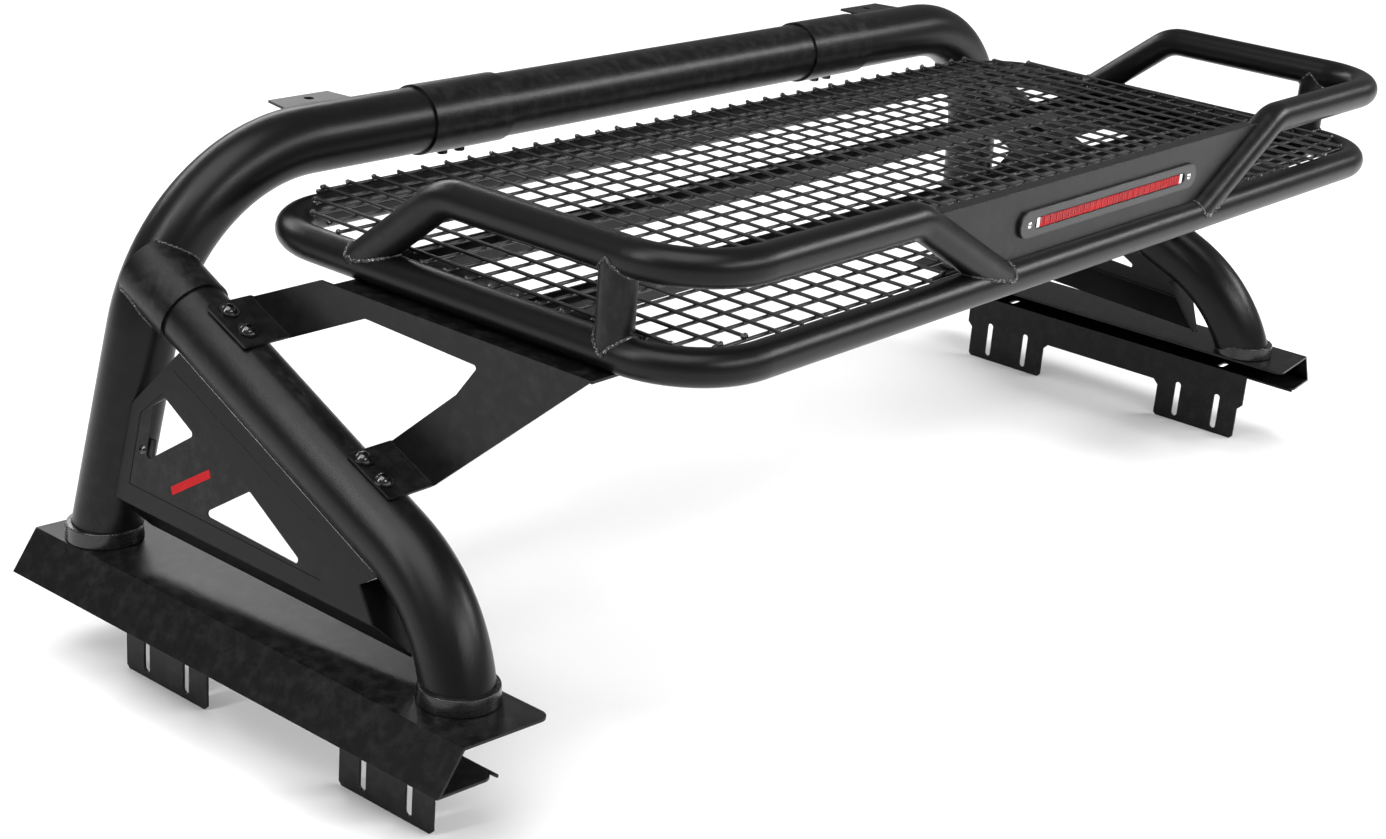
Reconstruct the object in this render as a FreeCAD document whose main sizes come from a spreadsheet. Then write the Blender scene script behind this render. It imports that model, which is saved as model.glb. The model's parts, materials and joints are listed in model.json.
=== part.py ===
"""Truck-bed roll bar rack with a cargo basket, in millimetres.

X runs across the truck, +Y points to the cab, +Z is up.  The origin is on the
middle plane, under the middle of the rack to within 3 mm, level with the lower
ends of the clamping tabs.  The left (-X) parts are built, the right parts mirror them.
"""
import FreeCAD, Part
import math
import os
from Sketcher import Constraint

Vector = FreeCAD.Vector
Rotation = FreeCAD.Rotation
Placement = FreeCAD.Placement

DIMENSIONS = {
    # main tubes and crossbar
    "tube_dia": 76.2, "tube_wall": 2.4, "bar_fore": 304, "bar_height": 561,
    "core_half": 308, "hoop_end": 333, "hoop_bend": 215,
    "hoop_foot_side": 843, "hoop_foot_fore": 332, "hoop_top_side": 770,
    "sleeve_dia": 82, "sleeve_inner": 298, "sleeve_outer": 425, "slip_gap": 0.1,
    "sleeve_bolt_near": 350, "sleeve_bolt_far": 378, "hoop_slot_width": 10.5,
    # rear brace of each side
    "brace_join_height": 447, "brace_side": 808, "brace_aft": 212,
    "brace_knee_height": 215, "brace_bend": 200, "collar_dia": 83, "collar_reach": 78,
    # bed-rail base, one bent sheet
    "sheet": 3, "plate_inner": 778, "plate_outer": 886, "skirt_outer": 915,
    "plate_top": 146, "flange_height": 100, "flange_inner": 845, "lip_drop": 44,
    "base_front": 400, "base_rear": 280, "base_slant": 15, "base_corner": 12,
    "front_tab_fore": 225, "rear_tab_aft": 122, "tab_length": 137,
    "tab_slot_length": 55, "tab_slot_width": 10, "tab_slot_half_pitch": 33.5,
    "tab_slot_low": 7, "flange_slot_length": 28, "flange_slot_width": 9,
    "flange_slot_side": 866, "flange_slot_fore": 232, "flange_slot_aft": 147,
    "ring_dia": 85, "ring_height": 18,
    # cargo basket
    "rail_dia": 38, "rail_wall": 2, "basket_side": 720, "basket_fore": 228,
    "basket_aft": 376, "basket_height": 505, "basket_corner": 90,
    "guard_height": 601, "guard_foot_fore": 70, "guard_rise_aft": 50,
    "guard_drop_side": 387, "guard_foot_side": 211, "guard_corner": 85,
    "guard_bend": 55, "post_aft": 276,
    "wire_dia": 4, "mesh_side": 698, "mesh_fore": 233, "mesh_aft": 354.5,
    "mesh_front_height": 525.4, "mesh_rear_height": 518, "wire_stub": 16,
    "mesh_front_cut": 66, "mesh_rear_cut": 30, "long_wires": 20, "cross_wires": 39,
    "channel_width": 40, "channel_height": 20, "channel_sheet": 2.5,
    "channel_half": 711, "middle_channel_fore": 48, "rear_channel_aft": 139,
    # brackets that carry the basket
    "web_side": 755, "bracket_flange": 145, "bracket_fore": 72, "bracket_aft": 283,
    "bracket_tab_width": 58, "upper_tab": 107, "lower_tab": 344, "bracket_tab_length": 69,
    "slide_gap": 0.3, "basket_bolt_side": 680, "travel_in": 20, "travel_out": 30,
    # side panel
    "panel_offset": 22, "panel_sheet": 2,
    # fasteners
    "bolt_dia": 8, "bolt_hole": 9, "head_dia": 14, "head_height": 5,
    "tab_screw_dia": 10, "tab_screw_hole": 11, "tab_screw_head": 17, "tab_screw_rise": 5.5,
    "washer_dia": 21, "washer_sheet": 2,
    # brake light and its panel
    "light_plate_sheet": 2, "light_plate_top": 600, "light_plate_half": 352,
    "light_plate_lip": 14, "light_height": 560, "bezel_length": 388, "bezel_width": 30,
    "bezel_depth": 4, "lens_length": 308, "lens_width": 11, "lens_depth": 3.5,
    "light_screw_half": 176, "housing_length": 330, "housing_width": 22,
    "housing_depth": 20,
    # lamp tabs on the hoops
    "lamp_tab_inner": 490, "lamp_tab_outer": 595, "lamp_tab_fore": 374,
    "lamp_tab_height": 590, "lamp_hole_side": 538, "lamp_hole_fore": 357,
    "lamp_hole_dia": 12,
}


class Size(float):
    """A number that also knows its spreadsheet expression."""

    def __new__(cls, value, text=None):
        size = float.__new__(cls, value)
        size.text = text if text else repr(float(value))
        return size

    def join(self, other, sign, value):
        return Size(value, "({} {} {})".format(self.text, sign, Size.of(other).text))

    @staticmethod
    def of(value):
        return value if isinstance(value, Size) else Size(value)

    def __add__(self, other):
        return self.join(other, "+", float(self) + float(other))

    def __radd__(self, other):
        return Size.of(other) + self

    def __sub__(self, other):
        return self.join(other, "-", float(self) - float(other))

    def __rsub__(self, other):
        return Size.of(other) - self

    def __mul__(self, other):
        return self.join(other, "*", float(self) * float(other))

    def __rmul__(self, other):
        return Size.of(other) * self

    def __truediv__(self, other):
        return self.join(other, "/", float(self) / float(other))

    def __neg__(self):
        return Size(-float(self), "(-1 * {})".format(self.text))


class SheetSizes:
    """Reads each driving dimension from the spreadsheet by its alias."""

    def __init__(self, sheet):
        self.table = sheet

    def __getattr__(self, alias):
        return Size(float(self.table.get(alias)), "Dims." + alias)


def fill_sheet(doc):
    """Writes every driving dimension to the sheet, one row each."""
    sheet = doc.addObject("Spreadsheet::Sheet", "Dims")
    for row, (alias, value) in enumerate(DIMENSIONS.items(), start=1):
        sheet.set("A{}".format(row), alias)
        sheet.set("B{}".format(row), str(value))
        sheet.setAlias("B{}".format(row), alias)
    doc.recompute()
    return sheet


doc = FreeCAD.newDocument("roll_bar_rack")
D = SheetSizes(fill_sheet(doc))
nodes = []


def node(obj, label):
    """Marks a document object as a finished sub-part."""
    obj.Label = label
    nodes.append(obj)
    return obj


def bind(obj, **sizes):
    """Drives properties of an object from the sheet."""
    for name, size in sizes.items():
        obj.setExpression(name, Size.of(size).text)


def put(obj, base, axis=Vector(0, 0, 1)):
    """Places an object at base with its own Z turned to axis."""
    obj.Placement = Placement(Vector(*base), Rotation(Vector(0, 0, 1), axis))
    for letter, size in zip("xyz", base):
        obj.setExpression("Placement.Base." + letter, Size.of(size).text)
    return obj


def cylinder(name, radius, height, base, axis=Vector(0, 0, 1)):
    obj = doc.addObject("Part::Cylinder", name)
    bind(obj, Radius=radius, Height=height)
    return put(obj, base, axis)


def box(name, size, base):
    obj = doc.addObject("Part::Box", name)
    bind(obj, Length=size[0], Width=size[1], Height=size[2])
    return put(obj, base)


def joined(name, pieces):
    obj = doc.addObject("Part::MultiFuse", name)
    obj.Shapes = pieces
    return obj


def cut(name, base, tool):
    obj = doc.addObject("Part::Cut", name)
    obj.Base = base
    obj.Tool = tool
    return obj


def formed(name, shape):
    """A part whose shape is worked out in code from the sheet's sizes."""
    obj = doc.addObject("Part::Feature", name)
    obj.Shape = shape
    obj.Placement = Placement()
    return obj


def mirrored(source, label):
    """The right-hand twin of a left-hand sub-part."""
    obj = doc.addObject("Part::Mirroring", label)
    obj.Source = source
    obj.Base = Vector(0, 0, 0)
    obj.Normal = Vector(1, 0, 0)
    return node(obj, label)


def both_sides(obj, name):
    """Files a left-hand sub-part and its mirrored twin."""
    node(obj, "left_" + name)
    return mirrored(obj, "right_" + name)


def pair_node(obj, label):
    """One sub-part made of a left piece and its mirror image."""
    twin = doc.addObject("Part::Mirroring", label + "_twin")
    twin.Source = obj
    twin.Normal = Vector(1, 0, 0)
    group = doc.addObject("Part::Compound", label)
    group.Links = [obj, twin]
    return node(group, label)


# ---------------------------------------------------------------- path tools

def bent_path(points, radii):
    """Straight runs between points with an arc of the given radius at each corner."""
    edges = []
    start = points[0]
    for corner, after, radius in zip(points[1:-1], points[2:], radii):
        back = (start - corner).normalize()
        ahead = (after - corner).normalize()
        half = back.getAngle(ahead) / 2
        reach = radius / math.tan(half)
        middle = corner + (back + ahead).normalize() * (radius / math.sin(half) - radius)
        first = corner + back * reach
        last = corner + ahead * reach
        edges.append(Part.makeLine(start, first))
        edges.append(Part.Arc(first, middle, last).toShape())
        start = last
    edges.append(Part.makeLine(start, points[-1]))
    return Part.Wire(edges)


def swept_bar(points, radii, radius):
    """A round solid bar along a bent path."""
    path = bent_path(points, radii)
    ring = Part.makeCircle(radius, points[0], points[1] - points[0])
    return path.makePipeShell([Part.Wire([ring])], True, False)


def swept_tube(points, radii, radius, wall):
    return swept_bar(points, radii, radius).cut(swept_bar(points, radii, radius - wall))


def plate(corners, normal, thickness):
    """A flat sheet with the given corners, thickened along the normal."""
    face = Part.Face(Part.makePolygon(corners + corners[:1]))
    return face.extrude(Vector(normal).normalize() * float(thickness))


def rounded_plate(corners, normal, thickness, radius):
    """A flat sheet whose corners across the thickness are rounded."""
    solid = plate(corners, normal, thickness)
    along = Vector(normal).normalize()
    edges = [e for e in solid.Edges if abs((e.Vertexes[1].Point - e.Vertexes[0].Point)
                                           .normalize().dot(along)) > 0.999]
    return solid.makeFillet(radius, edges)


def bar(radius, base, direction, length):
    return Part.makeCylinder(radius, length, base, direction)


def below(height):
    """Everything under a horizontal plane."""
    return Part.makeBox(4000, 4000, 400, Vector(-2000, -2000, height - 400))


# ------------------------------------------------------- main tube skeleton

tube_radius = D.tube_dia / 2
rail_radius = D.rail_dia / 2

hoop_foot = Vector(-D.hoop_foot_side, D.hoop_foot_fore, D.plate_top)
hoop_knee = Vector(-D.hoop_top_side, D.bar_fore, D.bar_height)
hoop_end = Vector(-D.hoop_end, D.bar_fore, D.bar_height)
leg_line = (hoop_knee - hoop_foot).normalize()
leg_start = hoop_foot - leg_line * 30

join_share = (D.brace_join_height - D.plate_top) / (D.bar_height - D.plate_top)
brace_top = hoop_foot + (hoop_knee - hoop_foot) * float(join_share)
brace_knee = Vector(-D.brace_side, -D.brace_aft, D.brace_knee_height)
brace_line = (brace_knee - brace_top).normalize()
brace_drop = brace_knee - leg_line * 160
# up and rearward, square to the straight run of the brace
brace_up = Vector(-1, 0, 0).cross(brace_line).normalize()

hoop_points = [leg_start, hoop_knee, hoop_end]
brace_points = [brace_top, brace_knee, brace_drop]
hoop_bends = [D.hoop_bend]
brace_bends = [D.brace_bend]
hoop_solid = swept_bar(hoop_points, hoop_bends, tube_radius)
brace_solid = swept_bar(brace_points, brace_bends, tube_radius)


def along_brace(distance, lift=0.0):
    """A point on the brace's straight run, or lifted off it."""
    return brace_top + brace_line * float(distance) + brace_up * float(lift)


# ------------------------------------------------------------- crossbar

def crossbar_tube(name, inner, outer, radius_out, radius_in):
    """A tube along X from x = -outer to x = -inner on the crossbar's axis."""
    length = outer - inner
    start = (-outer, D.bar_fore, D.bar_height)
    skin = cylinder(name + "_skin", radius_out, length, start, Vector(1, 0, 0))
    bore = cylinder(name + "_bore", radius_in, length + 20,
                    (-outer - 10, D.bar_fore, D.bar_height), Vector(1, 0, 0))
    return cut(name + "_tube", skin, bore)


def centre_tube():
    tube = crossbar_tube("centre", -D.core_half, D.core_half,
                         tube_radius, tube_radius - D.tube_wall)
    return node(tube, "centre_tube")


def sleeve():
    """Outer sleeve with two bolt holes through its underside."""
    tube = crossbar_tube("sleeve", D.sleeve_inner, D.sleeve_outer,
                         D.sleeve_dia / 2, tube_radius + D.slip_gap)
    drills = []
    for side in (D.sleeve_bolt_near, D.sleeve_bolt_far):
        start = (-side, D.bar_fore, D.bar_height - D.sleeve_dia)
        drills.append(cylinder("sleeve_drill", D.bolt_hole / 2, D.sleeve_dia, start))
    return cut("sleeve_drilled", tube, joined("sleeve_drills", drills))


def hex_bolt(base, up, grip, head_height=D.head_height):
    """Hex bolt: head under base, shank of the given length along up."""
    turn = Rotation(Vector(0, 0, 1), up)
    flats = [Vector(D.head_dia / 2 * math.cos(math.radians(a)),
                    D.head_dia / 2 * math.sin(math.radians(a)), -head_height)
             for a in range(0, 360, 60)]
    head = Part.Face(Part.makePolygon(flats + flats[:1])).extrude(Vector(0, 0, head_height))
    crown = Part.makeCone(D.head_dia / 2 - 1.2, D.head_dia / 2 + 1.5, 2.7,
                          Vector(0, 0, -head_height))
    crown = crown.fuse(Part.makeCylinder(D.head_dia, head_height, Vector(0, 0, 2.7 - head_height)))
    solid = head.common(crown).fuse(Part.makeCylinder(D.bolt_dia / 2, grip)).removeSplitter()
    solid.Placement = Placement(base, turn)
    return solid


def button_screw(base, up, grip, radius=D.head_dia / 2, rise=D.head_height, shank=D.bolt_dia / 2):
    """Domed socket screw: dome above base along up, shank the other way."""
    ball = (radius ** 2 + rise ** 2) / (2 * rise)
    dome = Part.makeSphere(ball, Vector(0, 0, rise - ball))
    dome = dome.common(Part.makeCylinder(radius, rise))
    key = [Vector(radius * 0.42 * math.cos(math.radians(a)),
                  radius * 0.42 * math.sin(math.radians(a)), rise * 0.4)
           for a in range(0, 360, 60)]
    socket = Part.Face(Part.makePolygon(key + key[:1])).extrude(Vector(0, 0, rise))
    solid = dome.cut(socket).fuse(Part.makeCylinder(shank, grip + 0.5, Vector(0, 0, -grip)))
    solid.Placement = Placement(base, Rotation(Vector(0, 0, 1), up))
    return solid


def sleeve_bolts():
    low = D.bar_height - D.sleeve_dia / 2
    bolts = [hex_bolt(Vector(-side, D.bar_fore, low - 0.3), Vector(0, 0, 1), 12)
             for side in (D.sleeve_bolt_near, D.sleeve_bolt_far)]
    pair = formed("sleeve_bolt_pair", Part.makeCompound(bolts))
    return pair_node(pair, "sleeve_bolts")


# ------------------------------------------------------------ side frames

def hoop():
    """Leg, bend and crossbar end; the end has an open slot for the sleeve bolts."""
    tube = swept_tube(hoop_points, hoop_bends, tube_radius, D.tube_wall)
    tube = tube.cut(below(D.plate_top))
    reach = D.sleeve_bolt_far + D.travel_in + D.bolt_dia - D.hoop_end
    slot = Part.makeBox(reach + 2, D.hoop_slot_width, 20,
                        Vector(-D.hoop_end - reach, D.bar_fore - D.hoop_slot_width / 2,
                               D.bar_height - tube_radius - 5))
    return formed("hoop", tube.cut(slot))


def hoop_collar():
    """Short socket on the leg that takes the brace."""
    skin = bar(D.collar_dia / 2, brace_top, brace_line, D.collar_reach)
    bore = bar(tube_radius + D.slip_gap, brace_top, brace_line, D.collar_reach)
    return formed("collar", skin.cut(bore).cut(hoop_solid))


def bracket_bolt_places():
    """Where the bracket's four screws enter the brace, as distances along it."""
    return [122, 155, 356, 389]


def brace():
    tube = swept_tube(brace_points, brace_bends, tube_radius, D.tube_wall)
    tube = tube.cut(below(D.plate_top)).cut(hoop_solid)
    for place in bracket_bolt_places():
        tube = tube.cut(bar(D.tab_screw_hole / 2, along_brace(place), brace_up, tube_radius + 5))
    return formed("brace", tube)


def foot_rings():
    """Flared weld rings round the two tube feet of one side."""
    rings = []
    for solid in (hoop_solid, brace_solid):
        slice_face = solid.slice(Vector(0, 0, 1), float(D.plate_top))[0]
        centre = Part.Face(slice_face).CenterOfMass
        base = Vector(centre.x, centre.y, D.plate_top)
        ring = Part.makeCone(D.ring_dia / 2, D.ring_dia / 2 - 1.5, D.ring_height, base)
        rim = [e for e in ring.Edges if e.Length > 100 and e.Curve.TypeId == "Part::GeomCircle"]
        ring = ring.makeFillet(1.2, rim)
        rings.append(ring.cut(solid))
    return formed("rings", Part.makeCompound(rings))


def lamp_tab():
    """Flat lamp tab on the crossbar end, with a short turned-down root."""
    inner, outer = D.lamp_tab_inner, D.lamp_tab_outer
    z = D.lamp_tab_height
    root = D.bar_fore + 15
    corners = [Vector(-inner, root, z), Vector(-outer, root, z),
               Vector(-outer + 12, D.lamp_tab_fore, z), Vector(-inner - 6, D.lamp_tab_fore, z)]
    tab = plate(corners, Vector(0, 0, -1), D.sheet)
    side = -inner - 12
    gusset = plate([Vector(side, root, z - D.sheet), Vector(side, root, z - 32),
                    Vector(side, D.lamp_tab_fore - 12, z - D.sheet)],
                   Vector(-1, 0, 0), D.sheet)
    hole = bar(D.lamp_hole_dia / 2, Vector(-D.lamp_hole_side, D.lamp_hole_fore, z - 10),
               Vector(0, 0, 1), 20)
    return formed("lamp_tab", tab.fuse(gusset).cut(hole).cut(hoop_solid))


# ------------------------------------------------------------ base rails

def sketch_on(body, role, name, offset=(0, 0, 0)):
    """A sketch flat on one of the body's own planes."""
    sketch = body.newObject("Sketcher::SketchObject", name)
    plane = [f for f in body.Origin.OriginFeatures if f.Role == role][0]
    sketch.AttachmentSupport = [(plane, "")]
    sketch.MapMode = "FlatFace"
    sketch.AttachmentOffset = Placement(Vector(*offset), Rotation())
    return sketch


def outline(sketch, corners):
    """A closed loop of straight lines whose corners are driven by the sheet."""
    first = sketch.GeometryCount
    count = len(corners)
    for place, corner in enumerate(corners):
        after = corners[(place + 1) % count]
        line = Part.LineSegment(Vector(corner[0], corner[1], 0), Vector(after[0], after[1], 0))
        sketch.addGeometry(line, False)
    for place, corner in enumerate(corners):
        line = first + place
        before = first + (place - 1) % count
        sketch.addConstraint(Constraint("Coincident", before, 2, line, 1))
        for kind, size in (("DistanceX", corner[0]), ("DistanceY", corner[1])):
            number = sketch.addConstraint(Constraint(kind, -1, 1, line, 1, float(size)))
            sketch.setExpression("Constraints[{}]".format(number), Size.of(size).text)


def padded(body, sketch, name, length, midplane=False, reverse=False):
    pad = body.newObject("PartDesign::Pad", name)
    pad.Profile = sketch
    pad.Midplane = midplane
    pad.Reversed = reverse
    bind(pad, Length=length)
    body.Tip = pad
    return pad


def root_sum(one, two):
    """The diagonal of two sizes, as a sheet expression."""
    return Size(math.hypot(one, two), "sqrt(({})^2 + ({})^2)".format(one.text, two.text))


def base_section():
    """Corners of the bent sheet's section: plate, skirt, flange and lip."""
    run = D.skirt_outer - D.plate_outer
    drop = D.plate_top - D.flange_height
    inset = D.sheet * root_sum(run, drop) / drop
    slope = run / drop
    upper = D.plate_outer + slope * D.sheet - inset
    lower = D.skirt_outer - slope * D.sheet - inset
    lip_low = D.flange_height - D.lip_drop
    return [(-D.plate_inner, D.plate_top), (-D.plate_outer, D.plate_top),
            (-D.skirt_outer, D.flange_height), (-D.flange_inner, D.flange_height),
            (-D.flange_inner, lip_low), (-D.flange_inner + D.sheet, lip_low),
            (-D.flange_inner + D.sheet, D.flange_height + D.sheet),
            (-lower, D.flange_height + D.sheet), (-upper, D.plate_top - D.sheet),
            (-D.plate_inner, D.plate_top - D.sheet)]


def obround_tool(name, centre, length, width, along, through):
    """A slot cutter: two rods and a block, long side along X or Z."""
    half = (length - width) / 2
    radius = width / 2
    x, y, z = centre
    if along == "Z":
        ends = [(x - through / 2, y, z - half), (x - through / 2, y, z + half)]
        block = box(name + "_block", (through, width, half * 2),
                    (x - through / 2, y - radius, z - half))
        axis = Vector(1, 0, 0)
    else:
        ends = [(x - half, y, z - through / 2), (x + half, y, z - through / 2)]
        block = box(name + "_block", (half * 2, width, through),
                    (x - half, y - radius, z - through / 2))
        axis = Vector(0, 0, 1)
    rods = [cylinder(name + "_end", radius, through, end, axis) for end in ends]
    return joined(name, rods + [block])


def tab_centres():
    return (D.front_tab_fore, -D.rear_tab_aft)


def base_rail():
    """One bent sheet: plate, skirt, flange, lip and two hanging tabs."""
    length = D.base_front + D.base_rear
    middle = (D.base_front - D.base_rear) / 2
    body = doc.addObject("PartDesign::Body", "base_body")
    put(body, (0, middle, 0))
    profile = sketch_on(body, "XZ_Plane", "base_profile")
    outline(profile, base_section())
    padded(body, profile, "base_pad", length, midplane=True)
    doc.recompute()
    lip_low = D.flange_height - D.lip_drop
    for count, fore in enumerate(tab_centres()):
        tab = sketch_on(body, "YZ_Plane", "tab_profile_{}".format(count),
                        (0, 0, -D.flange_inner))
        tab.setExpression("AttachmentOffset.Base.z", (-D.flange_inner).text)
        near = fore - middle - D.tab_length / 2
        far = fore - middle + D.tab_length / 2
        outline(tab, [(near - 8, lip_low + 4), (near - 8, lip_low), (near, lip_low - 8),
                      (near, Size(4)), (near + 4, Size(0)), (far - 4, Size(0)),
                      (far, Size(4)), (far, lip_low - 8), (far + 8, lip_low),
                      (far + 8, lip_low + 4)])
        padded(body, tab, "tab_pad_{}".format(count), D.sheet)
        doc.recompute()
    return cut("base_trimmed", body, joined("base_cutters", base_cutters()))


def rear_edge(side):
    """How far back the base's slanted rear end reaches at a given distance out."""
    share = (D.skirt_outer - side) / (D.skirt_outer - D.plate_inner)
    return D.base_slant * float(share - 1) + D.base_rear


def corner_cutter(side, low, high):
    """The waste outside a rounded rear corner of the plate or the flange."""
    radius = float(D.base_corner)
    slant = math.atan2(D.base_slant, D.skirt_outer - D.plate_inner)
    outer = side + radius
    centre = Vector(-outer, radius / math.cos(slant) - rear_edge(outer), low)
    corner = Vector(1 - side, -rear_edge(side) - 1, low)
    ends = [centre + Vector(radius, 0, 0),
            centre - Vector(math.sin(slant), math.cos(slant), 0) * radius]
    waste = plate([centre, ends[0], corner, ends[1]], Vector(0, 0, 1), high - low)
    return formed("corner_cutter", waste.cut(bar(radius, centre, Vector(0, 0, 1), high - low)))


def end_cutter(start, slant, turned):
    """A block that trims one slanted end of the base."""
    length = Size(600)
    reach = 0
    if turned:
        reach = float(length)
        slant += math.pi
    wedge = box("base_end", (length, 100, 200), (0, 0, 0))
    put(wedge, (-D.skirt_outer + reach * abs(math.cos(slant)),
                start - reach * abs(math.sin(slant)), Size(20)))
    wedge.Placement.Rotation = Rotation(Vector(0, 0, 1), -math.degrees(slant))
    return wedge


def base_cutters():
    """Slots, slanted ends, rounded corners, and the lip's two open ends."""
    cutters = []
    slot_height = D.tab_slot_low + D.tab_slot_length / 2
    for fore in tab_centres():
        for step in (-1, 1):
            centre = (-D.flange_inner, fore + D.tab_slot_half_pitch * step, slot_height)
            cutters.append(obround_tool("tab_slot", centre, D.tab_slot_length,
                                        D.tab_slot_width, "Z", D.sheet * 4))
    for fore in (D.flange_slot_fore, -D.flange_slot_aft):
        centre = (-D.flange_slot_side, fore, D.flange_height)
        cutters.append(obround_tool("flange_slot", centre, D.flange_slot_length,
                                    D.flange_slot_width, "X", D.sheet * 4))
    slant = math.atan2(D.base_slant, D.skirt_outer - D.plate_inner)
    cutters.append(end_cutter(D.base_front, slant, False))
    cutters.append(end_cutter(D.base_slant - D.base_rear, slant, True))
    cutters.append(corner_cutter(float(D.plate_inner), float(D.plate_top) - 20,
                                 float(D.plate_top) + 5))
    cutters.append(corner_cutter(float(D.flange_inner), float(D.flange_height) - 5,
                                 float(D.flange_height) + 20))
    lip_front = D.front_tab_fore + D.tab_length / 2 + 8
    lip_rear = -D.rear_tab_aft - D.tab_length / 2 - 8
    drop = D.lip_drop + 10
    low = D.flange_height - drop
    side = -D.flange_inner
    cutters.append(box("lip_end", (D.sheet * 2, Size(200), drop), (side, lip_front, low)))
    cutters.append(box("lip_end", (D.sheet * 2, Size(200), drop), (side, lip_rear - 200, low)))
    return cutters


# ------------------------------------------------------------ side panels

def panel_plane():
    """A point and the outward normal of the panel's inner face."""
    rear = along_brace(500)
    normal = (brace_top - hoop_foot).cross(rear - hoop_foot).normalize()
    if normal.x > 0:
        normal = normal * -1
    return hoop_foot + normal * float(D.panel_offset), normal


panel_point, panel_normal = panel_plane()


def on_panel(fore, height, lift=0.0):
    """The point of the panel's inner face at a given y and z, lifted outward."""
    start = Vector(0, fore, height)
    across = (panel_point - start).dot(panel_normal) / panel_normal.x
    return start + Vector(across, 0, 0) + panel_normal * float(lift)


def panel_sheet(corners, thickness, lift=0.0):
    return plate([on_panel(y, z, lift) for y, z in corners], panel_normal, thickness)


def cut_line(begin, end):
    """A fine groove in the panel's outer face between two points of it."""
    here = on_panel(*begin)
    there = on_panel(*end)
    width = panel_normal.cross((there - here).normalize()) * 0.8
    depth = panel_normal * float(D.panel_sheet - 0.5)
    corners = [here - width, there - width, there + width, here + width]
    return plate([c + depth for c in corners], panel_normal, 2)


panel_fold = ((-66, 226), (-91, 193))
panel_outline = [(297, 208), (291, 311), (214, 400), (-60, 275), (-95, 262), (-91, 243),
                 panel_fold[0], panel_fold[1]]
panel_grooves = [((245, 334), (274, 306)), ((274, 306), (277, 228)), ((277, 228), (-15, 215)),
                 ((232, 362), (-66, 238))]
upper_window = [(257, 319), (241, 331), (190, 305), (257, 258)]
lower_window = [(100, 272), (6, 219), (163, 229)]
panel_bolt = (264, 268)
bolt_reach = 3.3


def side_panel():
    """Sheet between leg and brace, two windows, bottom and rear edge bent inward."""
    sheet = panel_sheet(panel_outline, D.panel_sheet)
    sheet = sheet.multiFuse([rear_facet(), bottom_return()] + panel_bends())
    for window in (upper_window, lower_window):
        sheet = sheet.cut(window_cutter(window, 4))
    for begin, end in panel_grooves:
        sheet = sheet.cut(cut_line(begin, end))
    sheet = sheet.cut(bar(bolt_reach, on_panel(*panel_bolt, -5), panel_normal, 12))
    for tube in (swept_bar(hoop_points, hoop_bends, tube_radius + D.slip_gap),
                 swept_bar(brace_points, brace_bends, tube_radius + D.slip_gap),
                 bar(D.collar_dia / 2 + D.slip_gap, brace_top, brace_line, D.collar_reach)):
        sheet = sheet.cut(tube)
    body = max(sheet.Solids, key=lambda solid: solid.Volume)
    return formed("side_panel", body)


def panel_bends():
    """Round bends along the three folds, and a ball where they meet."""
    radius = D.panel_sheet - 0.1
    corner = on_panel(*panel_fold[1])
    bends = [Part.makeSphere(radius, corner)]
    for end in (on_panel(*panel_outline[0]), on_panel(*panel_fold[0]), corner + fold_reach):
        bends.append(bar(radius, corner, end - corner, (end - corner).Length + 1))
    return bends


def window_cutter(corners, radius):
    points = [on_panel(y, z, -4) for y, z in corners]
    return rounded_plate(points, panel_normal, 12, radius)


fold_reach = Vector(27, -27, -32)


def bottom_return():
    """The panel's bottom edge, bent inward and down towards the base."""
    front = on_panel(*panel_outline[0])
    rear = on_panel(*panel_fold[1])
    normal = (front - rear).cross(fold_reach).normalize()
    if normal.x > 0:
        normal = normal * -1
    corners = [rear, front, front + fold_reach, rear + fold_reach]
    return plate(corners, normal, D.panel_sheet)


def rear_facet():
    """The panel's rear edge, bent inward until it meets the brace."""
    top = on_panel(*panel_fold[0])
    low = on_panel(*panel_fold[1])
    end = low + fold_reach
    normal = (low - top).cross(end - top).normalize()
    if normal.y > 0:
        normal = normal * -1
    inward = Vector(1, 0, 0) - normal * normal.x
    inward.normalize()
    return plate([top, low, end, end + inward * 14, top + inward * 40], normal, D.panel_sheet)


def panel_lug():
    """Lug welded to the leg behind the panel."""
    fore, height = panel_bolt
    lug = panel_sheet([(fore - 14, height - 14), (fore + 41, height - 14),
                       (fore + 41, height + 14), (fore - 14, height + 14)],
                      D.sheet, -float(D.sheet))
    lug = lug.cut(bar(bolt_reach, on_panel(fore, height, -8), panel_normal, 12))
    return formed("panel_lug", lug.cut(hoop_solid))


def panel_screw():
    screw = button_screw(on_panel(*panel_bolt, float(D.panel_sheet)), panel_normal,
                         10, 5.5, 3, 3)
    return formed("panel_screw", Part.makeCompound([screw]))


# ------------------------------------------------------- basket brackets

channel_floor = D.basket_height - rail_radius
web_top = channel_floor - D.slide_gap
tab_lift = tube_radius + D.slip_gap
bracket_tabs = [(D.upper_tab, D.upper_tab + D.bracket_tab_length),
                (D.lower_tab, D.lower_tab + D.bracket_tab_length)]


def bracket_web():
    """Corners of the flat web: an upper and a lower arm reach down to the brace."""
    (upper_low, upper_high), (lower_low, lower_high) = bracket_tabs
    web = [along_brace(upper_low, tab_lift), Vector(0, 90, web_top),
           Vector(0, -D.bracket_aft, web_top),
           along_brace(lower_high, tab_lift), along_brace(lower_low, tab_lift),
           Vector(0, -109, 421), Vector(0, -137, 458), Vector(0, 22, 463),
           along_brace(upper_high, tab_lift)]
    return [Vector(-D.web_side, point.y, point.z) for point in web]


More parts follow.
